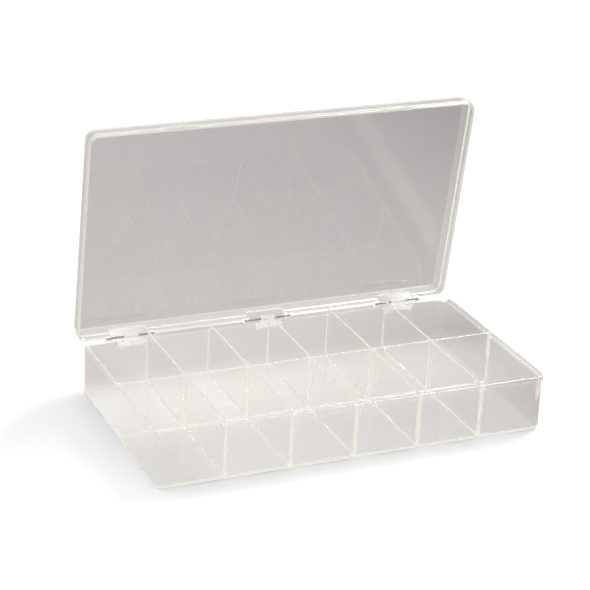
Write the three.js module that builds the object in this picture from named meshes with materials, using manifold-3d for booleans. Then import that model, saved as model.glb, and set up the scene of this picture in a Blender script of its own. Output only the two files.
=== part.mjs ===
// Parts sorting tray: a clear moulded box with twelve compartments and a hinged lid.
//
// Millimetres, +Z up. The origin is the centre of the underside. X runs along the long side,
// the hinges are at the rear (+Y), and the lid stands open as it does in use.

import * as THREE from 'three';
import { mergeVertices } from 'three/addons/utils/BufferGeometryUtils.js';
import Module from 'manifold-3d';

const wasm = await Module();
wasm.setup();

// ---- Driving dimensions -------------------------------------------------------------------

const COLUMNS = 6;
const ROWS = 2;
const COLUMN_PITCH = 45.5;
const ROW_PITCH = 75.5;
const DIVIDER = 1.6; // thickness of the dividers
const WALL = 1.5; // thickness of the outer walls
const FLOOR = 2.0;
const TRAY_HEIGHT = 40.0;
const RIM_HEIGHT = 3.8; // the stepped-out band round the tray's mouth
const RIM_STEP = 0.9; // how far that band stands out from the wall
const RIM_CORNER = 6.5; // outer corner radius of the band
const POCKET_CORNER = 1.5; // fillet where a divider meets a wall
const POCKET_FILLET = 1.2; // fillet round each compartment's floor
const EDGE_ROUND = 2.5; // rounding of the box's outer bottom and top edges
const REAR_TOP = 34.2; // the rear wall is lower than the rim, so that the lid can turn
const REAR_SLOPE_START = 64.5; // where the side rims begin to slope down to the rear wall
const REAR_SLOPE_END = 70.5;
const DIVIDER_END = 74.0; // how far back the dividers reach, above the rear wall

const GAP = 0.3; // running clearance between separate pieces
const LID_DEPTH = 13.8; // from the lid's top face to its open edge
const LID_PANEL = 2.0;
const LID_WALL = 1.9;
const LID_FILLET = 1.2; // fillet inside, between the panel and the skirt
const LID_BAND = 4.7; // height of the band that closes over the tray's rim
const LID_BAND_WALL = 1.7;
const LID_OPEN_DEG = 80; // how far the lid stands open, from closed

const HINGE_SPACING = 102.5;
const AXIS_Y = 79.4;
const AXIS_Z = 36.2;
const PIN_RADIUS = 0.75;
const PIN_LENGTH = 34.8;
const PIN_HOLE_RADIUS = 1.05;
const NOTCH_WIDTH = 27.6; // gap in the lid's rear skirt at each hinge
const NOTCH_DEPTH = 8.5;
const LUG_RADIUS = 2.0; // lugs on the lid that hold the ends of the pin
const LUG_LENGTH = 4.0;
const KNUCKLE_RADIUS = 2.2;
const KNUCKLE_LENGTH = 10.0;

const CLIP_SLOT_WIDTH = 20.0; // slot in the tray's rear wall that takes the clip
const CLIP_SLOT_BOTTOM = 31.0;
const CLIP_TOP = 34.0;
const CLIP_PLATE = 1.2; // thickness of the legs inside the wall
const CLIP_HALF = 10.4; // half the width across the legs
const CLIP_SPLIT = 2.4; // gap between the legs, which straddles a divider
const CLIP_FLANGE_HALF = 12.4;
const CLIP_FLANGE = 0.9;
const CLIP_WINDOW = 0.8; // radius of the small hole in each leg
const CLIP_TIP = 28.8; // height of the legs' pointed ends

const PAD_WIDTH = 24; // thumb pads on the lid's front edge
const PAD_CENTRE = 78;
const PAD_STEP = 0.8;

// ---- Sizes that follow from them ----------------------------------------------------------

const INNER_X = (COLUMNS * COLUMN_PITCH) / 2;
const INNER_Y = (ROWS * ROW_PITCH) / 2;
const WALL_X = INNER_X + WALL;
const WALL_Y = INNER_Y + WALL;
const RIM_X = WALL_X + RIM_STEP;
const RIM_Y = WALL_Y + RIM_STEP;
const RIM_BOTTOM = TRAY_HEIGHT - RIM_HEIGHT;
const LEDGE_Z = RIM_BOTTOM + 0.6; // the matching ledge inside the tray's mouth
const LID_BOTTOM = RIM_BOTTOM;
const LID_TOP = LID_BOTTOM + LID_DEPTH;
const LID_BAND_X = RIM_X + GAP + LID_BAND_WALL;
const LID_BAND_Y = RIM_Y + GAP + LID_BAND_WALL;
const LID_X = LID_BAND_X - 1.0;
const LID_Y = LID_BAND_Y - 1.0;
const OVERCUT = 5;

// ---- Solids -------------------------------------------------------------------------------

function solid(geometry) {
  const bare = geometry.clone();
  bare.deleteAttribute('normal');
  bare.deleteAttribute('uv');
  const merged = mergeVertices(bare);
  const mesh = new wasm.Mesh({
    numProp: 3,
    vertProperties: new Float32Array(merged.attributes.position.array),
    triVerts: new Uint32Array(merged.index.array),
  });
  return new wasm.Manifold(mesh);
}

function surface(body) {
  const mesh = body.getMesh();
  const geometry = new THREE.BufferGeometry();
  geometry.setAttribute('position', new THREE.BufferAttribute(mesh.vertProperties, 3));
  geometry.setIndex(new THREE.BufferAttribute(mesh.triVerts, 1));
  geometry.computeVertexNormals();
  return geometry;
}

// A rectangle from (x0, y0) to (x1, y1) with its own radius at each corner, which start at
// (x0, y0) and go round anticlockwise.
function outline(x0, y0, x1, y1, radii) {
  const [a, b, c, d] = radii;
  const shape = new THREE.Shape();
  shape.moveTo(x0 + a, y0);
  shape.lineTo(x1 - b, y0);
  shape.absarc(x1 - b, y0 + b, b, -Math.PI / 2, 0, false);
  shape.lineTo(x1, y1 - c);
  shape.absarc(x1 - c, y1 - c, c, 0, Math.PI / 2, false);
  shape.lineTo(x0 + d, y1);
  shape.absarc(x0 + d, y1 - d, d, Math.PI / 2, Math.PI, false);
  shape.lineTo(x0, y0 + a);
  shape.absarc(x0 + a, y0 + a, a, Math.PI, Math.PI * 1.5, false);
  return shape;
}

function extruded(shape, z0, z1, segments) {
  const geometry = new THREE.ExtrudeGeometry(shape, {
    depth: z1 - z0,
    bevelEnabled: false,
    curveSegments: segments,
  });
  return solid(geometry.translate(0, 0, z0));
}

// A block centred on the Z axis, with round vertical corners.
function slab(halfX, halfY, radius, z0, z1) {
  const shape = outline(-halfX, -halfY, halfX, halfY, [radius, radius, radius, radius]);
  return extruded(shape, z0, z1, 6);
}

// A block whose horizontal edges are rounded too, by `edge`.
function softBlock(x0, y0, x1, y1, radii, z0, z1, edge, steps, segments) {
  const inset = radii.map((radius) => radius - edge);
  const base = outline(x0 + edge, y0 + edge, x1 - edge, y1 - edge, inset);
  const geometry = new THREE.ExtrudeGeometry(base, {
    depth: z1 - z0 - 2 * edge,
    bevelEnabled: true,
    bevelThickness: edge,
    bevelSize: edge,
    bevelSegments: steps,
    curveSegments: segments,
  });
  return solid(geometry.translate(0, 0, z0 + edge));
}

function softSlab(halfX, halfY, radius, z0, z1, edge, steps = 3) {
  const radii = [radius, radius, radius, radius];
  return softBlock(-halfX, -halfY, halfX, halfY, radii, z0, z1, edge, steps, 6);
}

function box(x0, x1, y0, y1, z0, z1) {
  const geometry = new THREE.BoxGeometry(x1 - x0, y1 - y0, z1 - z0);
  return solid(geometry.translate((x0 + x1) / 2, (y0 + y1) / 2, (z0 + z1) / 2));
}

// A solid with an outline in the YZ plane, drawn out along X.
function along(points, x0, x1) {
  const shape = new THREE.Shape(points.map(([y, z]) => new THREE.Vector2(y, z)));
  const geometry = new THREE.ExtrudeGeometry(shape, { depth: x1 - x0, bevelEnabled: false });
  geometry.applyMatrix4(new THREE.Matrix4().set(0, 0, 1, x0, 1, 0, 0, 0, 0, 1, 0, 0, 0, 0, 0, 1));
  return solid(geometry);
}

// A cylinder along X, centred on the hinge line.
function rod(radius, x0, x1, sides) {
  const geometry = new THREE.CylinderGeometry(radius, radius, x1 - x0, sides);
  geometry.rotateZ(Math.PI / 2);
  return solid(geometry.translate((x0 + x1) / 2, AXIS_Y, AXIS_Z));
}

// ---- The tray: walls, floor and dividers in one moulding ------------------------------------

// One compartment's hollow. At the mouth it widens by the rim's step, along the outer walls.
function compartment(column, row) {
  const first = column === 0;
  const last = column === COLUMNS - 1;
  const x0 = -INNER_X + column * COLUMN_PITCH + (first ? 0 : DIVIDER / 2);
  const x1 = -INNER_X + (column + 1) * COLUMN_PITCH - (last ? 0 : DIVIDER / 2);
  const y0 = row === 0 ? -INNER_Y : DIVIDER / 2;
  const y1 = row === 0 ? -DIVIDER / 2 : INNER_Y;
  const wide = RIM_CORNER - RIM_STEP - WALL + POCKET_CORNER;
  const corner = (atX, atY) => (atX && atY ? wide : POCKET_CORNER);
  const front = row === 0;
  const radii = [
    corner(first, front),
    corner(last, front),
    corner(last, !front),
    corner(first, !front),
  ];
  const above = TRAY_HEIGHT + OVERCUT;
  const hollow = softBlock(x0, y0, x1, y1, radii, FLOOR, above, POCKET_FILLET, 2, 3);
  const mouth = outline(
    x0 - (first ? RIM_STEP : 0),
    y0 - (front ? RIM_STEP : 0),
    x1 + (last ? RIM_STEP : 0),
    y1 + (front ? 0 : RIM_STEP),
    radii,
  );
  return hollow.add(extruded(mouth, LEDGE_Z, above, 3));
}

function hingeCentres() {
  return { left: -HINGE_SPACING, centre: 0, right: HINGE_SPACING };
}

function makeTray() {
  const wallCorner = RIM_CORNER - RIM_STEP;
  let body = softSlab(WALL_X, WALL_Y, wallCorner, 0, TRAY_HEIGHT / 2, EDGE_ROUND);
  body = body.add(slab(WALL_X, WALL_Y, wallCorner, TRAY_HEIGHT / 4, LEDGE_Z));
  body = body.add(slab(RIM_X, RIM_Y, RIM_CORNER, RIM_BOTTOM, TRAY_HEIGHT));
  for (let column = 0; column < COLUMNS; column += 1) {
    for (let row = 0; row < ROWS; row += 1) {
      body = body.subtract(compartment(column, row));
    }
  }
  const slotHalf = CLIP_SLOT_WIDTH / 2;
  const above = TRAY_HEIGHT + 1;
  const behind = RIM_Y + 1;
  const sideStart = INNER_X - RIM_CORNER;

  // the rear wall is low, with the side rims sloping down to it and the dividers ending just short of it
  body = body.subtract(box(-sideStart, sideStart, DIVIDER_END, behind, REAR_TOP, above));
  const slope = [
    [REAR_SLOPE_START, TRAY_HEIGHT],
    [REAR_SLOPE_END, REAR_TOP],
    [behind, REAR_TOP],
    [behind, above],
    [REAR_SLOPE_START, above],
  ];
  body = body.subtract(along(slope, sideStart - 0.01, RIM_X + 1));
  body = body.subtract(along(slope, -RIM_X - 1, 0.01 - sideStart));
  for (const x of Object.values(hingeCentres())) {
    // the slot that the hinge clip drops into, cut through the rear wall
    const [left, right] = [x - slotHalf, x + slotHalf];
    body = body.subtract(box(left, right, INNER_Y - 0.01, behind, CLIP_SLOT_BOTTOM, above));
    // square corners where the clip's legs lie against the wall, beside a divider's end
    const seatY = INNER_Y - CLIP_PLATE - 2 * GAP;
    for (const [x0, x1] of [[-CLIP_HALF - GAP, -DIVIDER / 2], [DIVIDER / 2, CLIP_HALF + GAP]]) {
      body = body.subtract(box(x + x0, x + x1, seatY, INNER_Y, CLIP_TIP - GAP, above));
    }
  }
  return body;
}

// ---- The lid, drawn closed --------------------------------------------------------------------

function makeLid() {
  let body = softSlab(LID_X, LID_Y, RIM_CORNER, LID_BOTTOM + 0.5, LID_TOP, EDGE_ROUND);
  body = body.add(slab(LID_BAND_X, LID_BAND_Y, RIM_CORNER + 1, LID_BOTTOM, LID_BOTTOM + LID_BAND));
  const innerCorner = RIM_CORNER - LID_WALL;
  const panelUnder = LID_TOP - LID_PANEL;
  const innerX = LID_X - LID_WALL;
  const innerY = LID_Y - LID_WALL;
  body = body.subtract(
    softSlab(innerX, innerY, innerCorner, LID_BOTTOM - OVERCUT, panelUnder, LID_FILLET, 2),
  );
  const mouthTop = TRAY_HEIGHT + GAP;
  body = body.subtract(slab(RIM_X + GAP, RIM_Y + GAP, RIM_CORNER, LID_BOTTOM - OVERCUT, mouthTop));

  // thumb pads and the small rib between them, on the front
  for (const side of [-1, 1]) {
    const x = side * PAD_CENTRE;
    const y = -LID_BAND_Y - PAD_STEP;
    const corners = [PAD_STEP, PAD_STEP, 0.2, 0.2];
    const pad = outline(x - PAD_WIDTH / 2, y, x + PAD_WIDTH / 2, y + PAD_STEP + 1, corners);
    body = body.add(extruded(pad, LID_BOTTOM, LID_BOTTOM + LID_BAND, 2));
  }
  const bandTop = LID_BOTTOM + LID_BAND;
  body = body.add(box(-0.8, 0.8, -LID_Y - 0.6, -LID_Y + 0.6, bandTop - 1, LID_TOP - EDGE_ROUND));

  // notches for the hinges, and the lugs beside them that hold the pins
  const notchHalf = NOTCH_WIDTH / 2;
  const lugEnd = notchHalf + LUG_LENGTH;
  const notchTop = LID_BOTTOM + NOTCH_DEPTH;
  for (const x of Object.values(hingeCentres())) {
    const [left, right] = [x - notchHalf, x + notchHalf];
    body = body.subtract(box(left, right, innerY - 0.01, LID_BAND_Y + 1, LID_BOTTOM - 1, notchTop));
    body = body.add(rod(LUG_RADIUS, x - lugEnd, x - notchHalf, 18));
    body = body.add(rod(LUG_RADIUS, x + notchHalf, x + lugEnd, 18));
    body = body.subtract(rod(PIN_HOLE_RADIUS, x - lugEnd - 0.1, x + lugEnd + 0.1, 14));
  }
  return body;
}

// ---- Hinge clips and pins ------------------------------------------------------------------------

// One leg of the clip: it lies against the inside of the rear wall and ends in a pointed catch
// with a small window above it. `side` is 1 for the leg towards +X, -1 for the other.
function clipLeg(x, side) {
  const points = [
    [CLIP_SPLIT / 2, CLIP_TOP],
    [CLIP_SPLIT / 2, CLIP_SLOT_BOTTOM + GAP],
    [CLIP_HALF - 5.4, CLIP_SLOT_BOTTOM + GAP - 0.2],
    [CLIP_HALF - 1.8, CLIP_TIP],
    [CLIP_HALF, CLIP_TIP + 1.6],
    [CLIP_HALF, CLIP_TOP],
  ];
  const shape = new THREE.Shape(points.map(([px, pz]) => new THREE.Vector2(x + side * px, pz)));
  const plate = new THREE.ExtrudeGeometry(shape, { depth: CLIP_PLATE, bevelEnabled: false });
  plate.rotateX(Math.PI / 2);
  plate.translate(0, INNER_Y - GAP, 0);
  const window = new THREE.CylinderGeometry(CLIP_WINDOW, CLIP_WINDOW, 6, 12);
  window.translate(x + side * (CLIP_HALF - 1.9), INNER_Y - 3.2, CLIP_TOP - 2);
  const web = box(
    x + (side > 0 ? CLIP_SPLIT / 2 : GAP - CLIP_SLOT_WIDTH / 2),
    x + (side > 0 ? CLIP_SLOT_WIDTH / 2 - GAP : -CLIP_SPLIT / 2),
    INNER_Y - GAP - 0.2,
    WALL_Y,
    CLIP_SLOT_BOTTOM + GAP,
    CLIP_TOP,
  );
  return solid(plate).subtract(solid(window)).add(web);
}

function makeClip(x) {
  const fillHalf = CLIP_SLOT_WIDTH / 2 - GAP;
  const knuckleHalf = KNUCKLE_LENGTH / 2;
  const flangeY = WALL_Y + 2 * GAP;
  const flangeBack = flangeY + CLIP_FLANGE;
  const bottom = CLIP_SLOT_BOTTOM + GAP;
  const armHalf = KNUCKLE_RADIUS * 0.9;
  const [left, right] = [x - knuckleHalf, x + knuckleHalf];
  let body = box(x - fillHalf, x + fillHalf, INNER_Y + GAP, flangeBack, bottom, CLIP_TOP);
  body = body.add(clipLeg(x, -1)).add(clipLeg(x, 1));
  const flangeLeft = x - CLIP_FLANGE_HALF;
  const flangeRight = x + CLIP_FLANGE_HALF;
  body = body.add(box(flangeLeft, flangeRight, flangeY, flangeBack, bottom - 1.2, CLIP_TOP));
  body = body.add(rod(KNUCKLE_RADIUS, left, right, 20));
  body = body.add(box(left, right, INNER_Y + GAP, AXIS_Y, CLIP_TOP - 1, AXIS_Z + armHalf));
  return body.subtract(rod(PIN_HOLE_RADIUS, x - KNUCKLE_LENGTH, x + KNUCKLE_LENGTH, 14));
}

function makePin(x) {
  return rod(PIN_RADIUS, x - PIN_LENGTH / 2, x + PIN_LENGTH / 2, 16);
}

// ---- Materials --------------------------------------------------------------------------------------

function clearPlastic(color) {
  return new THREE.MeshStandardMaterial({
    color,
    roughness: 0.08,
    metalness: 0,
    transparent: true,
    opacity: 0.4,
  });
}

function steel() {
  return new THREE.MeshStandardMaterial({ color: 0x8d8b86, roughness: 0.35, metalness: 1 });
}

function named(name, body, material) {
  const mesh = new THREE.Mesh(surface(body), material);
  mesh.name = name;
  return mesh;
}

// ---- Assembly ---------------------------------------------------------------------------------------

const object = new THREE.Group();
object.add(named('tray', makeTray(), clearPlastic(0xe9e6dc)));

// The lid and the pins in its lugs turn about the hinge line.
const lidTurn = new THREE.Group();
lidTurn.position.set(0, AXIS_Y, AXIS_Z);
lidTurn.rotation.x = THREE.MathUtils.degToRad(-LID_OPEN_DEG);
const lidFrame = new THREE.Group();
lidFrame.position.set(0, -AXIS_Y, -AXIS_Z);
lidTurn.add(lidFrame);
object.add(lidTurn);
lidFrame.add(named('lid', makeLid(), clearPlastic(0xe4e0da)));

for (const [place, x] of Object.entries(hingeCentres())) {
  object.add(named(`hinge_clip_${place}`, makeClip(x), clearPlastic(0xf4f3f0)));
  lidFrame.add(named(`hinge_pin_${place}`, makePin(x), steel()));
}

export default object;
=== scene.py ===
"""Clear parts sorting tray with its lid standing open, in a soft white studio."""

import math

import bmesh
import bpy
from mathutils import Matrix, Vector


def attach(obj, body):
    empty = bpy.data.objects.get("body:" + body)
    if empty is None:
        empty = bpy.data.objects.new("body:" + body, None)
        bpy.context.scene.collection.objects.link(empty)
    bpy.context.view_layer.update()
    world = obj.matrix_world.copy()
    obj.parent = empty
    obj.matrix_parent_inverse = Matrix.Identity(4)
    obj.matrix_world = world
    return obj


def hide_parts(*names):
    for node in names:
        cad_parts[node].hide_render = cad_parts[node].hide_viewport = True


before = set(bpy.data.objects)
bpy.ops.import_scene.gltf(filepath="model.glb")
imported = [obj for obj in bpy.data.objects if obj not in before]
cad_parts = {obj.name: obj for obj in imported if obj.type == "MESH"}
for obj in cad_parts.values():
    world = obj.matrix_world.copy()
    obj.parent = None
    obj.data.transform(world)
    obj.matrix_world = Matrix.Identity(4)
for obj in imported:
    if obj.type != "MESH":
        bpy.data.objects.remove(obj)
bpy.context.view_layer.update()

# ---- Sizes, in millimetres in the part's own frame -------------------------------------------------

# the tray
COLUMNS, ROWS = 6, 2
COLUMN_PITCH, ROW_PITCH = 45.5, 75.5
DIVIDER, WALL, FLOOR = 1.6, 1.5, 2.0
TRAY_HEIGHT, RIM_HEIGHT, RIM_STEP = 40.0, 3.8, 0.9
INNER_X, INNER_Y = COLUMNS * COLUMN_PITCH / 2, ROWS * ROW_PITCH / 2
WALL_X, WALL_Y = INNER_X + WALL, INNER_Y + WALL
RIM_X, RIM_Y = WALL_X + RIM_STEP, WALL_Y + RIM_STEP
RIM_BOTTOM = TRAY_HEIGHT - RIM_HEIGHT
LEDGE_Z = RIM_BOTTOM + 0.6
RIM_CORNER = 6.5
POCKET_CORNER, POCKET_FILLET = 2.1, 1.2
EDGE_ROUND = 2.5  # the large rounding along the foot of the tray and the top of the lid
BREAK = 0.45  # the small rounding of the mouldings' sharp edges
SHOULDER = 0.2  # the slope where a wall steps out or in
REAR_TOP = 34.2
REAR_SLOPE_START, REAR_SLOPE_END = 64.5, 70.5
DIVIDER_END = 74.0
GAP = 0.3  # clearance between separate pieces

# the lid, in its closed position
LID_DEPTH, LID_PANEL, LID_WALL = 13.8, 2.0, 1.9
LID_BAND, LID_BAND_WALL, LID_BAND_STEP = 4.7, 1.7, 1.0
LID_BOTTOM = RIM_BOTTOM
LID_TOP = LID_BOTTOM + LID_DEPTH
LID_BAND_X, LID_BAND_Y = RIM_X + GAP + LID_BAND_WALL, RIM_Y + GAP + LID_BAND_WALL
LID_X, LID_Y = LID_BAND_X - LID_BAND_STEP, LID_BAND_Y - LID_BAND_STEP
LID_OPEN = math.radians(80)
PAD_WIDTH, PAD_CENTRE, PAD_STEP = 24.0, 78.0, 0.8
BUMP_WIDTH, BUMP_STEP = 1.8, 0.6

# the hinges
HINGES = {"left": -102.5, "centre": 0.0, "right": 102.5}
AXIS_Y, AXIS_Z = 79.4, 36.2
PIN_RADIUS, PIN_LENGTH, PIN_HOLE = 0.75, 34.8, 1.05
PIN_WAIST, PIN_END = 0.735, 0.45
NOTCH_WIDTH, NOTCH_DEPTH, NOTCH_CORNER = 27.6, 8.5, 2.4
LUG_RADIUS, LUG_LENGTH = 2.0, 4.0
KNUCKLE_RADIUS, KNUCKLE_LENGTH = 2.2, 10.0
SLOT_WIDTH, SLOT_BOTTOM = 20.0, 31.0
CLIP_TOP, CLIP_TIP, CLIP_WINDOW = 34.0, 28.8, 0.8
CLIP_PLATE, CLIP_HALF, CLIP_SPLIT = 1.2, 10.4, 2.4
FLANGE_HALF, FLANGE = 12.4, 0.9

MM = 0.001

# how finely each kind of rounding is divided
CORNER_STEPS, POCKET_STEPS, EDGE_STEPS, FILLET_STEPS, BREAK_STEPS = 10, 6, 7, 5, 3
LEAST_RADIUS = 0.4


# ---- Mesh helpers ----------------------------------------------------------------------------------

def ring(x0, y0, x1, y1, radii, grow=(0, 0, 0, 0), steps=8):
    """Points round a rectangle with four corner radii, its sides moved out by (left, front, right, rear)."""
    a = [max(r, 0.05) for r in radii]
    x0, y0, x1, y1 = x0 - grow[0], y0 - grow[1], x1 + grow[2], y1 + grow[3]
    centres = [
        (x1 - a[1], y0 + a[1], a[1], -90),
        (x1 - a[2], y1 - a[2], a[2], 0),
        (x0 + a[3], y1 - a[3], a[3], 90),
        (x0 + a[0], y0 + a[0], a[0], 180),
    ]
    points = []
    for cx, cy, r, start in centres:
        for k in range(steps + 1):
            angle = math.radians(start + 90 * k / steps)
            points.append((cx + r * math.cos(angle), cy + r * math.sin(angle)))
    return points


def round_rect(u0, v0, u1, v1, radius, steps=4):
    return ring(u0, v0, u1, v1, [radius] * 4, steps=steps)


def centred_ring(half_x, half_y, corner, grow):
    """A rounded rectangle about the origin, offset outwards by grow."""
    radius = max(corner + grow, LEAST_RADIUS)
    return ring(-half_x, -half_y, half_x, half_y, [radius] * 4, (grow,) * 4, CORNER_STEPS)


def circle(cu, cv, radius, sides=28):
    angles = [2 * math.pi * k / sides for k in range(sides)]
    return [(cu + radius * math.cos(a), cv + radius * math.sin(a)) for a in angles]


def quarter(radius, steps):
    """(inset, rise) along a quarter round, from the flat end to the upright side."""
    angles = [math.pi / 2 * k / steps for k in range(steps + 1)]
    return [(radius * (1 - math.sin(a)), radius * (1 - math.cos(a))) for a in angles]


def make_object(name, bm):
    bmesh.ops.recalc_face_normals(bm, faces=bm.faces)
    mesh = bpy.data.meshes.new(name)
    bm.to_mesh(mesh)
    bm.free()
    obj = bpy.data.objects.new(name, mesh)
    bpy.context.scene.collection.objects.link(obj)
    return obj


def skin(bm, layers):
    """A closed solid over layers of (x, y, z) points, which all have the same number of points."""
    layers = [[bm.verts.new((x * MM, y * MM, z * MM)) for x, y, z in layer] for layer in layers]
    count = len(layers[0])
    for low, high in zip(layers, layers[1:]):
        for k in range(count):
            n = (k + 1) % count
            bm.faces.new((low[k], low[n], high[n], high[k]))
    bm.faces.new(list(reversed(layers[0])))
    bm.faces.new(layers[-1])


def loft_into(bm, rings):
    """A closed solid through rings of (points, z)."""
    skin(bm, [[(x, y, z) for x, y in points] for points, z in rings])


def loft(name, rings):
    bm = bmesh.new()
    loft_into(bm, rings)
    return make_object(name, bm)


def prism_into(bm, outline, lo, hi, axis, soft=0.0, steps=2):
    """An outline of (u, v) points drawn out along an axis, with its end edges rounded by soft."""
    def place(u, v, w):
        return {"X": (w, u, v), "Y": (u, w, v), "Z": (u, v, w)}[axis]

    cu = sum(p[0] for p in outline) / len(outline)
    cv = sum(p[1] for p in outline) / len(outline)
    half_u = max(abs(p[0] - cu) for p in outline)
    half_v = max(abs(p[1] - cv) for p in outline)
    stations = [(lo, 0.0), (hi, 0.0)]
    if soft:
        ease = quarter(soft, steps)
        stations = [(lo + rise, inset) for inset, rise in ease]
        stations += [(hi - rise, inset) for inset, rise in reversed(ease)]
    layers = []
    for w, inset in stations:
        ku, kv = 1 - inset / half_u, 1 - inset / half_v
        layers.append([place(cu + (u - cu) * ku, cv + (v - cv) * kv, w) for u, v in outline])
    skin(bm, layers)


def prism(name, outline, lo, hi, axis, soft=0.0, steps=2):
    bm = bmesh.new()
    prism_into(bm, outline, lo, hi, axis, soft, steps)
    return make_object(name, bm)


def apply_modifiers(obj):
    bpy.context.view_layer.update()
    evaluated = obj.evaluated_get(bpy.context.evaluated_depsgraph_get())
    mesh = bpy.data.meshes.new_from_object(evaluated)
    obj.modifiers.clear()
    old = obj.data
    obj.data = mesh
    bpy.data.meshes.remove(old)


def cut_or_join(target, tool, operation):
    """Cuts the tool away from the target or joins it on, and removes the tool."""
    modifier = target.modifiers.new("shape", "BOOLEAN")
    modifier.operation = operation
    modifier.solver = "EXACT"
    modifier.object = tool
    apply_modifiers(target)
    bpy.data.objects.remove(tool)


def finish_surface(obj, angle=38, merge=2e-6, face_weight=95):
    """Smooth shading that keeps flat walls flat and real corners sharp."""
    bm = bmesh.new()
    bm.from_mesh(obj.data)
    bmesh.ops.remove_doubles(bm, verts=bm.verts, dist=merge)
    bmesh.ops.dissolve_degenerate(bm, edges=bm.edges, dist=merge)
    bmesh.ops.recalc_face_normals(bm, faces=bm.faces)
    bm.to_mesh(obj.data)
    bm.free()
    obj.data.shade_smooth()
    obj.data.set_sharp_from_angle(angle=math.radians(angle))
    weighted = obj.modifiers.new("normals", "WEIGHTED_NORMAL")
    weighted.mode = "FACE_AREA"
    weighted.weight = face_weight
    weighted.keep_sharp = True
    apply_modifiers(obj)


# ---- The tray --------------------------------------------------------------------------------------

def outer_tray():
    rings = []

    def add(grow, z):
        rings.append((centred_ring(WALL_X, WALL_Y, RIM_CORNER - RIM_STEP, grow), z))

    for inset, rise in quarter(EDGE_ROUND, EDGE_STEPS):
        add(-inset, rise)
    add(0.0, RIM_BOTTOM - SHOULDER)
    add(SHOULDER, RIM_BOTTOM)
    for inset, rise in quarter(BREAK, BREAK_STEPS):
        add(RIM_STEP - inset, RIM_BOTTOM + rise)
    for inset, rise in reversed(quarter(BREAK, BREAK_STEPS)):
        add(RIM_STEP - inset, TRAY_HEIGHT - rise)
    return loft("tray_body", rings)


def compartments():
    """The hollows of all the compartments, each with a filleted floor and a ledge under the rim."""
    bm = bmesh.new()
    for column in range(COLUMNS):
        for row in range(ROWS):
            outer = [column == 0, row == 0, column == COLUMNS - 1, row == ROWS - 1]
            left, front, right, rear = outer
            x0 = -INNER_X + column * COLUMN_PITCH + (0 if left else DIVIDER / 2)
            x1 = -INNER_X + (column + 1) * COLUMN_PITCH - (0 if right else DIVIDER / 2)
            y0 = -INNER_Y if front else DIVIDER / 2
            y1 = -DIVIDER / 2 if front else INNER_Y
            corners = [(left, front), (right, front), (right, rear), (left, rear)]
            radii = [RIM_CORNER - RIM_STEP if all(corner) else POCKET_CORNER for corner in corners]

            def layer(grow, step, z):
                """The hollow's outline, grown all round, and by a further step at the tray's own walls."""
                sides = tuple(grow + (step if side else 0.0) for side in outer)
                return ring(x0, y0, x1, y1, [r + grow for r in radii], sides, POCKET_STEPS), z

            rings = [layer(-inset, 0, FLOOR + rise) for inset, rise in quarter(POCKET_FILLET, FILLET_STEPS)]
            rings.append(layer(0, 0, LEDGE_Z - BREAK))
            rings += [layer(0, BREAK * 0.3, LEDGE_Z - BREAK * 0.3), layer(0, BREAK, LEDGE_Z)]
            rings += [layer(0, RIM_STEP - SHOULDER, LEDGE_Z), layer(0, RIM_STEP, LEDGE_Z + SHOULDER)]
            for inset, rise in quarter(BREAK, BREAK_STEPS):
                rings.append(layer(rise, RIM_STEP, TRAY_HEIGHT - inset))
            rings.append(layer(BREAK, RIM_STEP, TRAY_HEIGHT + 1))
            loft_into(bm, rings)
    return make_object("compartment_hollows", bm)


def lower_rear(tray):
    """Takes off the rear wall's top, the side rims' rear ends and the dividers' rear ends."""
    side = INNER_X - RIM_CORNER
    behind, above = RIM_Y + 2, TRAY_HEIGHT + 3
    ends = [
        (DIVIDER_END - 0.3, above),
        (DIVIDER_END - 0.05, TRAY_HEIGHT - 1.5),
        (DIVIDER_END + 0.1, REAR_TOP + 0.4),
        (DIVIDER_END + 0.5, REAR_TOP),
        (behind, REAR_TOP),
        (behind, above),
    ]
    cut_or_join(tray, prism("rear_cut", ends, -side, side, "X"), "DIFFERENCE")

    start_y, start_z = REAR_SLOPE_START, TRAY_HEIGHT + 0.01
    slope = [(start_y - 1.2, above), (start_y - 1.2, TRAY_HEIGHT + 0.3)]
    count = 8
    for k in range(count + 1):
        part = k / count
        ease = part * part * (3 - 2 * part)
        slope.append((start_y + (REAR_SLOPE_END - start_y) * part, start_z + (REAR_TOP - start_z) * ease))
    slope += [(behind + 0.1, REAR_TOP), (behind + 0.1, above + 0.1)]
    for x0, x1 in ((-RIM_X - 2, 0.02 - side), (side - 0.02, RIM_X + 2)):
        cut_or_join(tray, prism("corner_cut", slope, x0, x1, "X"), "DIFFERENCE")


def make_tray():
    tray = outer_tray()
    cut_or_join(tray, compartments(), "DIFFERENCE")
    lower_rear(tray)

    bm = bmesh.new()
    reach = CLIP_HALF + GAP - 0.02
    divider = DIVIDER / 2 + 0.001
    for x in HINGES.values():
        for u0, u1 in ((-reach, -divider), (divider, reach)):
            outline = round_rect(x + u0, CLIP_TIP - GAP, x + u1, REAR_TOP + 8, 0.3)
            prism_into(bm, outline, INNER_Y - CLIP_PLATE - 2 * GAP, INNER_Y - 0.002, "Y")
    cut_or_join(tray, make_object("clip_seats", bm), "DIFFERENCE")

    bm = bmesh.new()
    half = SLOT_WIDTH / 2
    for x in HINGES.values():
        outline = round_rect(x - half, SLOT_BOTTOM, x + half, TRAY_HEIGHT + 3, 0.8)
        prism_into(bm, outline, INNER_Y - 0.02, RIM_Y + 1, "Y")
    cut_or_join(tray, make_object("clip_slots", bm), "DIFFERENCE")
    finish_surface(tray)
    return tray


# ---- The lid, made closed and then swung open ------------------------------------------------------

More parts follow.
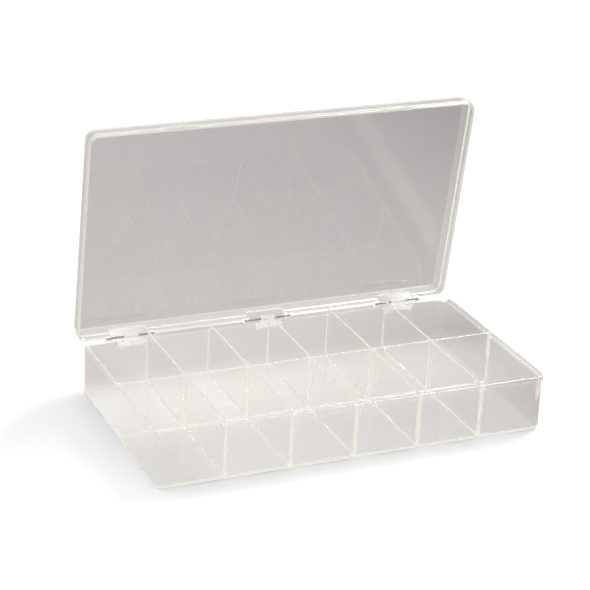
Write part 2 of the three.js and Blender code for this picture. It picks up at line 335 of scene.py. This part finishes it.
def outer_lid():
    rings = []

    def add(grow, z):
        rings.append((centred_ring(LID_X, LID_Y, RIM_CORNER, grow), z))

    band_top = LID_BOTTOM + LID_BAND
    for inset, rise in quarter(BREAK, BREAK_STEPS):
        add(LID_BAND_STEP - inset, LID_BOTTOM + rise)
    for inset, rise in reversed(quarter(BREAK, BREAK_STEPS)):
        add(LID_BAND_STEP - inset, band_top - rise)
    add(SHOULDER, band_top)
    add(0.0, band_top + SHOULDER)
    for inset, rise in reversed(quarter(EDGE_ROUND, EDGE_STEPS)):
        add(-inset, LID_TOP - rise)
    return loft("lid_body", rings)


def lid_hollow():
    rings = []
    half_x, half_y = LID_X - LID_WALL, LID_Y - LID_WALL
    step = RIM_X + GAP - half_x
    ledge = TRAY_HEIGHT + GAP

    def add(grow, z):
        rings.append((centred_ring(half_x, half_y, RIM_CORNER - LID_WALL, grow), z))

    add(step + BREAK, LID_BOTTOM - 2)
    for inset, rise in reversed(quarter(BREAK, BREAK_STEPS)):
        add(step + rise, LID_BOTTOM + inset)
    add(step, ledge - 0.25)
    add(step - 0.25, ledge)
    add(BREAK, ledge)
    add(0.0, ledge + BREAK)
    for inset, rise in reversed(quarter(POCKET_FILLET, FILLET_STEPS)):
        add(-inset, LID_TOP - LID_PANEL - rise)
    return loft("lid_hollow", rings)


def swing_open(obj):
    """Turns a piece drawn with the lid closed to where it is with the lid open."""
    axis = Vector((0, AXIS_Y * MM, AXIS_Z * MM))
    turn = Matrix.Translation(axis) @ Matrix.Rotation(-LID_OPEN, 4, "X") @ Matrix.Translation(-axis)
    obj.data.transform(turn)
    obj.data.update()


def thumb_pads():
    """Two pads on the lid's front edge for opening it, and a small bump between them."""
    bm = bmesh.new()
    for x in (-PAD_CENTRE, PAD_CENTRE):
        x0, x1, front = x - PAD_WIDTH / 2, x + PAD_WIDTH / 2, -LID_BAND_Y - PAD_STEP
        outline = ring(x0, front, x1, front + PAD_STEP + 0.9, [0.7, 0.7, 0.1, 0.1], steps=5)
        prism_into(bm, outline, LID_BOTTOM + 0.02, LID_BOTTOM + LID_BAND - 0.02, "Z", 0.2)
    half = BUMP_WIDTH / 2
    outline = ring(-half, -LID_Y - BUMP_STEP, half, -LID_Y + 0.5, [0.4, 0.4, 0.1, 0.1], steps=4)
    prism_into(bm, outline, LID_BOTTOM + LID_BAND - 0.8, LID_TOP - EDGE_ROUND - 0.3, "Z", 0.2)
    return make_object("thumb_pads", bm)


def make_lid():
    lid = outer_lid()
    cut_or_join(lid, lid_hollow(), "DIFFERENCE")
    cut_or_join(lid, thumb_pads(), "UNION")

    bm = bmesh.new()
    half = NOTCH_WIDTH / 2
    for x in HINGES.values():
        outline = round_rect(x - half, LID_BOTTOM - 6, x + half, LID_BOTTOM + NOTCH_DEPTH, NOTCH_CORNER, 6)
        prism_into(bm, outline, LID_Y - LID_WALL - 0.03, LID_BAND_Y + 1, "Y")
    cut_or_join(lid, make_object("hinge_notches", bm), "DIFFERENCE")

    bm = bmesh.new()
    for x in HINGES.values():
        for lo in (x - half - LUG_LENGTH, x + half + 0.01):
            prism_into(bm, circle(AXIS_Y, AXIS_Z, LUG_RADIUS), lo, lo + LUG_LENGTH - 0.01, "X", 0.25)
    cut_or_join(lid, make_object("pin_lugs", bm), "UNION")

    bm = bmesh.new()
    reach = half + LUG_LENGTH + 0.1
    for x in HINGES.values():
        prism_into(bm, circle(AXIS_Y, AXIS_Z, PIN_HOLE, 20), x - reach, x + reach, "X")
    cut_or_join(lid, make_object("pin_holes", bm), "DIFFERENCE")
    finish_surface(lid)
    swing_open(lid)
    return lid


# ---- Hinge clips and pins --------------------------------------------------------------------------

def clip_leg(x, side):
    """One springy leg with a pointed foot. The outline is reversed on the left, so both face outwards."""
    bottom = SLOT_BOTTOM + GAP
    points = [
        (CLIP_SPLIT / 2, CLIP_TOP),
        (CLIP_SPLIT / 2, bottom),
        (CLIP_HALF - 5.4, bottom - 0.2),
        (CLIP_HALF - 2.1, CLIP_TIP + 0.1),
        (CLIP_HALF - 1.5, CLIP_TIP + 0.1),
        (CLIP_HALF, CLIP_TIP + 1.6),
        (CLIP_HALF, CLIP_TOP),
    ]
    outline = [(x + side * u, v) for u, v in points]
    if side < 0:
        outline.reverse()
    return prism("leg", outline, INNER_Y - GAP - CLIP_PLATE, INNER_Y - GAP, "Y", 0.18)


def make_clip(place, x):
    """A clip in the rear wall: a block in the slot, two legs inside, a flange outside and a knuckle."""
    top, bottom = CLIP_TOP, SLOT_BOTTOM + GAP
    fill = SLOT_WIDTH / 2 - GAP
    flange_y = WALL_Y + 2 * GAP
    outline = round_rect(x - fill, bottom, x + fill, top, 0.5)
    clip = prism(f"hinge_clip_{place}_body", outline, INNER_Y + GAP, flange_y + FLANGE, "Y", 0.15)
    for side in (-1, 1):
        cut_or_join(clip, clip_leg(x, side), "UNION")
        outline = circle(x + side * (CLIP_HALF - 1.9), top - 2, CLIP_WINDOW, 20)
        cut_or_join(clip, prism("window", outline, INNER_Y - 3, INNER_Y - GAP - 0.2, "Y"), "DIFFERENCE")
        u0, u1 = sorted((x + side * CLIP_SPLIT / 2, x + side * fill))
        outline = round_rect(u0 + 0.01, bottom + 0.01, u1 - 0.01, top - 0.02, 0.4)
        cut_or_join(clip, prism("web", outline, INNER_Y - GAP - 0.3, INNER_Y + GAP + 0.4, "Y"), "UNION")
    outline = round_rect(x - FLANGE_HALF, bottom - 1.2, x + FLANGE_HALF, top - 0.01, 0.8)
    cut_or_join(clip, prism("flange", outline, flange_y, flange_y + FLANGE - 0.01, "Y", 0.2), "UNION")
    half = KNUCKLE_LENGTH / 2
    outline = round_rect(INNER_Y + GAP + 0.02, top - 1, AXIS_Y, AXIS_Z + KNUCKLE_RADIUS * 0.9, 0.5)
    cut_or_join(clip, prism("arm", outline, x - half + 0.05, x + half - 0.05, "X"), "UNION")
    outline = circle(AXIS_Y, AXIS_Z, KNUCKLE_RADIUS, 32)
    cut_or_join(clip, prism("knuckle", outline, x - half, x + half, "X", 0.25), "UNION")
    outline = circle(AXIS_Y, AXIS_Z, PIN_HOLE, 20)
    cut_or_join(clip, prism("bore", outline, x - half - 1, x + half + 1, "X"), "DIFFERENCE")
    finish_surface(clip)
    return clip


def make_pin(place, x):
    """A drawn wire pin with chamfered ends and a slight waist inside the clip's knuckle."""
    half = PIN_LENGTH / 2
    stations = [
        (-half, PIN_END),
        (-half + 0.3, PIN_RADIUS),
        (-6.2, PIN_RADIUS),
        (-5.6, PIN_WAIST),
        (5.6, PIN_WAIST),
        (6.2, PIN_RADIUS),
        (half - 0.3, PIN_RADIUS),
        (half, PIN_END),
    ]
    bm = bmesh.new()
    rings = [(along, circle(AXIS_Y, AXIS_Z, radius, 24)) for along, radius in stations]
    skin(bm, [[(x + along, y, z) for y, z in points] for along, points in rings])
    pin = make_object(f"hinge_pin_{place}_wire", bm)
    finish_surface(pin)
    swing_open(pin)
    return pin


# ---- Materials -------------------------------------------------------------------------------------

def set_inputs(node, **values):
    """Sets the node's inputs: From_Min=0.3 sets the input called From Min."""
    for name, value in values.items():
        node.inputs[name.replace("_", " ")].default_value = value


def new_material(name):
    material = bpy.data.materials.new(name)
    material.use_nodes = True
    tree = material.node_tree
    tree.nodes.clear()
    output = tree.nodes.new("ShaderNodeOutputMaterial")
    shader = tree.nodes.new("ShaderNodeBsdfPrincipled")
    tree.links.new(shader.outputs["BSDF"], output.inputs["Surface"])
    return material, tree, shader, output


def coordinates(tree, output="Object"):
    """The x, y and z of an object's own coordinates."""
    coords = tree.nodes.new("ShaderNodeTexCoord")
    split = tree.nodes.new("ShaderNodeSeparateXYZ")
    tree.links.new(coords.outputs[output], split.inputs["Vector"])
    return split.outputs


def noise(tree, scale, detail, stretch=(1, 1, 1), roughness=0.5):
    coords = tree.nodes.new("ShaderNodeTexCoord")
    mapping = tree.nodes.new("ShaderNodeMapping")
    texture = tree.nodes.new("ShaderNodeTexNoise")
    set_inputs(mapping, Scale=stretch)
    set_inputs(texture, Scale=scale, Detail=detail, Roughness=roughness)
    tree.links.new(coords.outputs["Object"], mapping.inputs["Vector"])
    tree.links.new(mapping.outputs["Vector"], texture.inputs["Vector"])
    return texture.outputs["Fac"]


def ramp(tree, source, stops):
    node = tree.nodes.new("ShaderNodeValToRGB")
    elements = node.color_ramp.elements
    for element, (position, colour) in zip(elements, (stops[0], stops[-1])):
        element.position = position
        element.color = (*colour, 1)
    for position, colour in stops[1:-1]:
        elements.new(position).color = (*colour, 1)
    tree.links.new(source, node.inputs["Fac"])
    return node.outputs["Color"]


def rescaled(tree, source, start, end, low=0.0, high=1.0):
    """Turns start to end into low to high, and holds the value beyond them."""
    node = tree.nodes.new("ShaderNodeMapRange")
    set_inputs(node, From_Min=start, From_Max=end, To_Min=low, To_Max=high)
    tree.links.new(source, node.inputs["Value"])
    return node.outputs["Result"]


def scaled_noise(tree, source, low, high):
    """Spreads a noise, which is mostly between 0.3 and 0.7, over low to high."""
    return rescaled(tree, source, 0.3, 0.7, low, high)


def mixed(tree, factor, first, second, blend="MIX"):
    """A mix of two colours, each of them a socket or a fixed colour. The factor is a socket or a number."""
    node = tree.nodes.new("ShaderNodeMixRGB")
    node.blend_type = blend
    for value, name in ((factor, "Fac"), (first, "Color1"), (second, "Color2")):
        if isinstance(value, bpy.types.NodeSocket):
            tree.links.new(value, node.inputs[name])
        else:
            node.inputs[name].default_value = value if name == "Fac" else (*value, 1)
    return node.outputs["Color"]


def bump(tree, shader, height, distance, strength):
    node = tree.nodes.new("ShaderNodeBump")
    set_inputs(node, Distance=distance, Strength=strength)
    tree.links.new(height, node.inputs["Height"])
    tree.links.new(node.outputs["Normal"], shader.inputs["Normal"])


def maths(tree, operation, *sources):
    node = tree.nodes.new("ShaderNodeMath")
    node.operation = operation
    for source, socket in zip(sources, node.inputs):
        tree.links.new(source, socket)
    return node.outputs["Value"]


def lid_side_mask(tree):
    """From 0 on the lid's panel to 1 in its side walls, measured in the lid's closed position."""
    coords = tree.nodes.new("ShaderNodeTexCoord")
    closed = tree.nodes.new("ShaderNodeMapping")
    axis = Vector((0, AXIS_Y * MM, AXIS_Z * MM))
    set_inputs(closed, Rotation=(LID_OPEN, 0, 0), Location=axis - Matrix.Rotation(LID_OPEN, 3, "X") @ axis)
    tree.links.new(coords.outputs["Object"], closed.inputs["Vector"])
    split = tree.nodes.new("ShaderNodeSeparateXYZ")
    tree.links.new(closed.outputs["Vector"], split.inputs["Vector"])
    sides = []
    for place, half in ((split.outputs["X"], LID_X - LID_WALL), (split.outputs["Y"], LID_Y - LID_WALL)):
        away = maths(tree, "ABSOLUTE", place)
        sides.append(rescaled(tree, away, (half - 0.8) * MM, (half + 0.4) * MM))
    return maths(tree, "MAXIMUM", *sides)


TINT_SCALE, TINT_START, TINT_END = 14.0, 0.38, 0.62  # patches about 70 mm across
GLOSS_SCALE = 60.0  # patches of handling marks, about 17 mm across
FLOW_SCALE, FLOW_STRENGTH = 9.0, 0.35  # the moulding's slow waves
TRAY_IOR, LID_IOR = 1.57, 1.8  # the lid's is above a real plastic's, to bring out its reflections


def clear_plastic(name, tints, haze, density, rough, wave=0.00015, milk=0.0, side_tint=None, ior=TRAY_IOR):
    """Moulded clear plastic with a patchy colour cast and gloss, faint flow waves and a haze inside.

    The haze takes away light along a path and glows with its own colour at the same rate, so that a long
    path, such as one along a wall to its edge, turns to the haze colour. The glow is painted light, which
    stands in for the haze lit by the studio. density is in 1/m, and wave, the height of the waves, is in
    metres.
    """
    material, tree, shader, output = new_material(name)
    spread = (TINT_END - TINT_START) / (len(tints) - 1)
    stops = [(TINT_START + spread * k, tint) for k, tint in enumerate(tints)]
    colour = ramp(tree, noise(tree, TINT_SCALE, 2.0), stops)
    if side_tint:
        colour = mixed(tree, lid_side_mask(tree), colour, side_tint)
    tree.links.new(colour, shader.inputs["Base Color"])
    marks = noise(tree, GLOSS_SCALE, 5.0, roughness=0.65)
    tree.links.new(scaled_noise(tree, marks, *rough), shader.inputs["Roughness"])
    bump(tree, shader, noise(tree, FLOW_SCALE, 2.0, (1, 2.2, 1)), wave, FLOW_STRENGTH)
    set_inputs(shader, IOR=ior, Transmission_Weight=1.0 - milk)

    # the haze: a loss, and a glow of painted light in the haze colour at the same rate
    loss = tree.nodes.new("ShaderNodeVolumeAbsorption")
    glow = tree.nodes.new("ShaderNodeEmission")
    both = tree.nodes.new("ShaderNodeAddShader")
    set_inputs(loss, Color=(0, 0, 0, 1), Density=density)
    set_inputs(glow, Color=(*haze, 1), Strength=density)
    tree.links.new(loss.outputs["Volume"], both.inputs[0])
    tree.links.new(glow.outputs["Emission"], both.inputs[1])
    tree.links.new(both.outputs["Shader"], output.inputs["Volume"])
    return material


def drawn_steel(name):
    """Steel wire with fine drawing marks along it."""
    material, tree, shader, _ = new_material(name)
    grain = noise(tree, 900.0, 2.0, (0.03, 1, 1))
    colour = ramp(tree, grain, [(0.3, (0.20, 0.195, 0.19)), (0.7, (0.42, 0.41, 0.40))])
    tree.links.new(colour, shader.inputs["Base Color"])
    tree.links.new(scaled_noise(tree, grain, 0.28, 0.42), shader.inputs["Roughness"])
    bump(tree, shader, grain, 0.00003, 0.5)
    set_inputs(shader, Metallic=1.0)
    return material


def dress(obj, material):
    obj.data.materials.clear()
    obj.data.materials.append(material)


# faint pink, green and lavender casts, as strained clear plastic shows
TRAY_TINTS = [
    (0.965, 0.962, 0.947),
    (0.97, 0.953, 0.948),
    (0.97, 0.962, 0.955),
    (0.96, 0.963, 0.956),
    (0.965, 0.956, 0.963),
]
# the lid's casts are the same, darkened all over as a painted shade, which makes the lid grey
LID_TINTS_WITH_PAINTED_SHADE = [
    (0.78, 0.763, 0.755),
    (0.785, 0.756, 0.755),
    (0.78, 0.758, 0.758),
    (0.772, 0.758, 0.755),
    (0.777, 0.756, 0.763),
]
# the lid's side walls take a pale tint instead, without the panel's painted shade
LID_SIDE_TINT = (0.95, 0.95, 0.93)
CLIP_TINTS = [(0.97, 0.97, 0.95), (0.98, 0.98, 0.97), (0.96, 0.965, 0.98)]
# the haze's glow colour and rate: the glow is painted light that turns the plastic's edges cream, and the
# clips' stronger glow whitens them
HAZE_GLOW, HAZE_GLOW_DENSITY = (0.88, 0.86, 0.77), 25.0
CLIP_HAZE_GLOW, CLIP_DENSITY = (1.0, 0.99, 0.965), 220.0

tray_plastic = clear_plastic("tray_clear_plastic", TRAY_TINTS, HAZE_GLOW, HAZE_GLOW_DENSITY, (0.02, 0.07))
lid_plastic = clear_plastic(
    "lid_clear_plastic", LID_TINTS_WITH_PAINTED_SHADE, HAZE_GLOW, HAZE_GLOW_DENSITY, (0.015, 0.06), side_tint=LID_SIDE_TINT, ior=LID_IOR)
clip_plastic = clear_plastic(
    "clip_clear_plastic", CLIP_TINTS, CLIP_HAZE_GLOW, CLIP_DENSITY, (0.05, 0.14), wave=0.0009, milk=0.2)
pin_steel = drawn_steel("pin_drawn_steel")

tray = make_tray()
tray.name = "tray_moulding"
dress(tray, tray_plastic)
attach(tray, "tray")
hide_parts("tray")

lid = make_lid()
lid.name = "lid_moulding"
dress(lid, lid_plastic)
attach(lid, "lid")
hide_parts("lid")

for place, x in HINGES.items():
    clip = make_clip(place, x)
    dress(clip, clip_plastic)
    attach(clip, "tray")
    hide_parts(f"hinge_clip_{place}")
    pin = make_pin(place, x)
    dress(pin, pin_steel)
    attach(pin, "lid")
    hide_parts(f"hinge_pin_{place}")

# ---- Studio ----------------------------------------------------------------------------------------

FLOOR_SIZE, FLOOR_DROP = 6.0, -0.0004  # metres; the drop keeps the floor clear of the tray's underside
CAMERA_FLOOR_LIFT = 0.325  # how far the floor is lifted towards white for the camera

WHITE, BLACK = (1, 1, 1), (0, 0, 0)
# the floor's painted light and shade as the plastic sees it, a glow: from front to rear, then towards each
# side
FLOOR_FRONT = (0.80, 0.79, 0.79)
FLOOR_NEAR = (0.96, 0.95, 0.93)
FLOOR_BEHIND = (0.70, 0.68, 0.66)
FLOOR_FAR = (0.62, 0.60, 0.60)
FLOOR_LEFT = (0.93, 0.93, 0.92)
FLOOR_MIDDLE = (0.90, 0.90, 0.90)
FLOOR_RIGHT = (0.71, 0.695, 0.685)
FLOOR_FAR_RIGHT = (0.63, 0.62, 0.61)
# painted light: a bright strip on the floor beside the box's right side, which the right rim shows as a pale
# band
FLOOR_BESIDE = (1.0, 1.0, 0.96)
FLOOR_CORNER = (0.75, 0.75, 0.76)
# the painted soft shade on the floor under the open lid, which stands in for a shadow there
SHADE = (0.45, 0.445, 0.435)
SHADE_X, SHADE_Y = (-0.125, 0.178), (0.03, 0.26)
SKY_TOP, SKY_LOW = 1.6, 0.6


def grey(value):
    return (value, value, value)


def build_floor():
    """A pale floor. The camera sees it nearly white, with a painted shade behind the box. The plastic sees it
    glow with soft grey tones of painted light and shade.
    """
    bm = bmesh.new()
    bmesh.ops.create_grid(bm, x_segments=1, y_segments=1, size=FLOOR_SIZE)
    floor = make_object("studio_floor", bm)
    floor.location.z = FLOOR_DROP
    material, tree, shader, output = new_material("studio_floor_white")
    place = coordinates(tree)

    def along(axis, start, end, stops):
        """A colour ramp along one axis of the floor, from start to end in metres."""
        return ramp(tree, rescaled(tree, place[axis], start, end), stops)

    # what the camera sees: white, with a painted soft shade from under the box to a little way behind the
    # open lid
    across = along("X", *SHADE_X, [(0.0, BLACK), (0.25, WHITE), (0.86, WHITE), (1.0, BLACK)])
    deep = along("Y", *SHADE_Y, [
        (0.0, BLACK), (0.2, grey(0.8)), (0.45, WHITE), (0.62, grey(0.95)), (0.8, grey(0.4)), (1.0, BLACK)])
    shade = mixed(tree, mixed(tree, 1.0, across, deep, "MULTIPLY"), WHITE, SHADE)
    white = ramp(tree, noise(tree, 3.0, 2.0), [(0.3, (0.38, 0.38, 0.385)), (0.7, grey(0.40))])
    tree.links.new(mixed(tree, 1.0, white, shade, "MULTIPLY"), shader.inputs["Base Color"])
    tree.links.new(shade, shader.inputs["Emission Color"])
    set_inputs(shader, Roughness=0.9, Emission_Strength=CAMERA_FLOOR_LIFT)

    # what the plastic sees: a glow of painted light and shade, from front to rear, darker towards the right
    # near the box
    back = along("Y", -0.1, 0.5, [
        (0.0, FLOOR_FRONT), (0.12, FLOOR_FRONT), (0.19, FLOOR_NEAR), (0.26, FLOOR_NEAR), (0.33, FLOOR_BEHIND),
        (1.0, FLOOR_FAR)])
    back = mixed(tree, 1.0, back, along("X", 0.26, 0.42, [(0.0, WHITE), (1.0, FLOOR_CORNER)]), "MULTIPLY")
    far_side = along("X", -0.15, 0.15, [
        (0.0, FLOOR_LEFT), (0.12, FLOOR_LEFT), (0.2, WHITE), (0.33, WHITE), (0.67, FLOOR_MIDDLE),
        (1.0, FLOOR_RIGHT)])
    near_side = along("X", -0.15, 0.21, [
        (0.0, FLOOR_LEFT), (0.10, FLOOR_LEFT), (0.167, WHITE), (0.275, WHITE), (0.558, FLOOR_MIDDLE),
        (0.833, FLOOR_RIGHT), (0.878, FLOOR_FAR_RIGHT), (0.914, FLOOR_FAR_RIGHT), (0.928, FLOOR_BESIDE),
        (0.958, FLOOR_BESIDE), (0.986, FLOOR_RIGHT), (1.0, FLOOR_RIGHT)])
    side = mixed(tree, rescaled(tree, place["Y"], 0.10, 0.17, 1.0, 0.0), far_side, near_side)
    nearness = rescaled(tree, place["Y"], 0.085, 0.17, 1.0, 0.15)
    tones = tree.nodes.new("ShaderNodeEmission")
    tree.links.new(mixed(tree, nearness, back, side, "MULTIPLY"), tones.inputs["Color"])

    # the camera sees the lit floor with its painted shade, and every other ray sees the glowing painted tones
    path = tree.nodes.new("ShaderNodeLightPath")
    either = tree.nodes.new("ShaderNodeMixShader")
    tree.links.new(path.outputs["Is Camera Ray"], either.inputs["Fac"])
    tree.links.new(tones.outputs["Emission"], either.inputs[1])
    tree.links.new(shader.outputs["BSDF"], either.inputs[2])
    tree.links.new(either.outputs["Shader"], output.inputs["Surface"])
    dress(floor, material)


def area_light(name, place, target, side, power):
    """A square softbox: its place, target and side in metres, its power in watts."""
    data = bpy.data.lights.new(name, "AREA")
    data.shape = "RECTANGLE"
    data.size = data.size_y = side
    data.energy = power
    light = bpy.data.objects.new(name, data)
    light.location = place
    light.rotation_euler = (Vector(target) - Vector(place)).to_track_quat("-Z", "Y").to_euler()
    bpy.context.scene.collection.objects.link(light)


def build_world():
    """Bright overhead and dimmer near the horizon, like the inside of a light tent."""
    world = bpy.data.worlds.new("studio_world")
    bpy.context.scene.world = world
    world.use_nodes = True
    tree = world.node_tree
    background = tree.nodes["Background"]
    rise = rescaled(tree, coordinates(tree, "Generated")["Z"], 0.05, 0.95, SKY_LOW, SKY_TOP)
    tree.links.new(rise, background.inputs["Strength"])
    set_inputs(background, Color=(1, 1, 1, 1))


build_floor()
area_light("key_softbox", (0.9, 0.5, 1.2), (0, 0, 0.05), 0.7, 30.0)
area_light("top_softbox", (-0.1, -0.2, 1.9), (0, 0, 0), 1.8, 12.0)
build_world()

# many bounces, because light that is cut off inside the plastic leaves dark lines along its edges
scene = bpy.context.scene
scene.view_settings.view_transform = "Standard"
scene.view_settings.look = "None"
scene.cycles.max_bounces = 64
scene.cycles.transmission_bounces = 64
scene.cycles.glossy_bounces = 64
scene.cycles.transparent_max_bounces = 24
scene.cycles.diffuse_bounces = 4
scene.cycles.use_denoising = True

# ---- Camera ----------------------------------------------------------------------------------------

# solved from the compartment grid: focal length in pixels, place in metres, and its three directions
IMAGE_WIDTH, FOCAL_PIXELS, SENSOR_WIDTH = 590, 2009.94, 36.0
CAMERA_PLACE = Vector((-0.51542, -1.13229, 0.59929))
CAMERA_RIGHT = Vector((0.920084, -0.389800, 0.038737))
CAMERA_DOWN = Vector((-0.116220, -0.366079, -0.923298))
CAMERA_FORWARD = Vector((0.374082, 0.845010, -0.382126))

camera_data = bpy.data.cameras.new("camera")
camera_data.sensor_width = SENSOR_WIDTH
camera_data.lens = FOCAL_PIXELS / IMAGE_WIDTH * SENSOR_WIDTH
camera_data.clip_end = 50.0
camera = bpy.data.objects.new("camera", camera_data)
columns = (CAMERA_RIGHT, -CAMERA_DOWN, -CAMERA_FORWARD, CAMERA_PLACE)
camera.matrix_world = Matrix([[column[k] for column in columns] for k in range(3)] + [[0, 0, 0, 1]])
scene.collection.objects.link(camera)
scene.camera = camera
